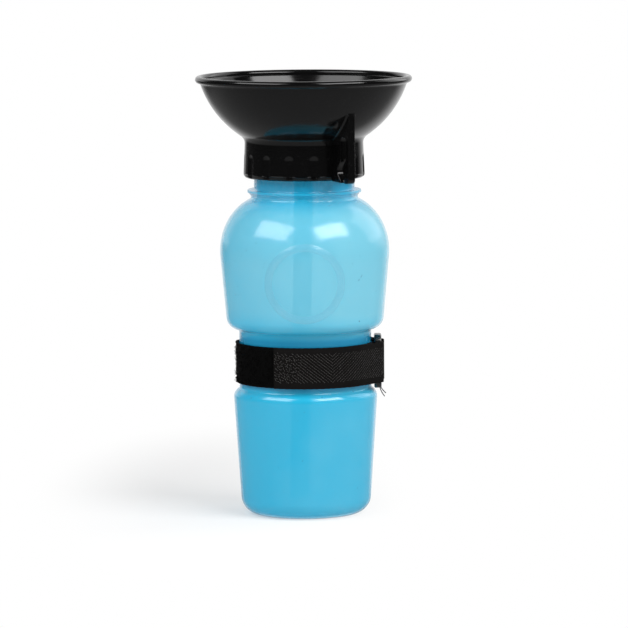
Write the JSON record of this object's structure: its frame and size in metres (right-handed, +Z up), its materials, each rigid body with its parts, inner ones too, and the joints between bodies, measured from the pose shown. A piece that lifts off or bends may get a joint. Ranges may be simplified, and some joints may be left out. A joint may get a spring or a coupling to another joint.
{
  "type": "dog travel water bottle",
  "caption": "Squeeze bottle with a waisted translucent body, a wide screw-on drinking bowl with a moulded belt clip, a dip tube and a hook-and-loop waist strap.",
  "frame": {"origin": "on the bottle's axis, at the level of the flat ring that it stands on", "axes": "+Z up the bottle's axis; +X from the axis through the belt clip"},
  "size_m": [0.108, 0.108, 0.2194],
  "materials": {
    "bottle_plastic": "translucent satin polyethylene, sky blue",
    "bowl_plastic": "glossy moulded black",
    "seal_rubber": "matt translucent silicone",
    "tube_plastic": "translucent extruded tube",
    "ring_plastic": "glossy moulded black",
    "loop_tape": "brushed loop pile, black",
    "hook_tape": "woven nylon back, black",
    "sewing_thread": "twisted polyester thread"
  },
  "bodies": {
    "bottle": {"bottle": "bottle_plastic"},
    "seal": {"seal_ring": "seal_rubber"},
    "bowl": {"bowl": "bowl_plastic", "dip_tube": "tube_plastic"},
    "strap": {"strap_ring": "ring_plastic", "strap_loop_tape": "loop_tape", "strap_hook_tape": "hook_tape", "strap_stitching": "sewing_thread"},
    "flap": {"strap_flap": "hook_tape"}
  },
  "joints": [
    {"name": "bowl_lift", "type": "slide", "parent": "bottle", "child": "seal", "axis": [0, 0, 1], "range_m": [0, 0.00676]},
    {"name": "bowl_turn", "type": "hinge", "parent": "seal", "child": "bowl", "pos_m": [0, 0, 0.1875], "axis": [0, 0, 1], "range_deg": [0, 540]},
    {"name": "strap_turn", "type": "hinge", "parent": "bottle", "child": "strap", "pos_m": [0, 0, 0.0765], "axis": [0, 0, 1], "continuous": true},
    {"name": "flap_peel", "type": "hinge", "parent": "strap", "child": "flap", "pos_m": [0.02399, 0.02776, 0.0765], "axis": [0, 0, 1], "range_deg": [0, 100]}
  ],
  "couplings": [
    {"joint": "bowl_lift", "follows": "bowl_turn", "m_per_rad": 0.0007162}
  ]
}
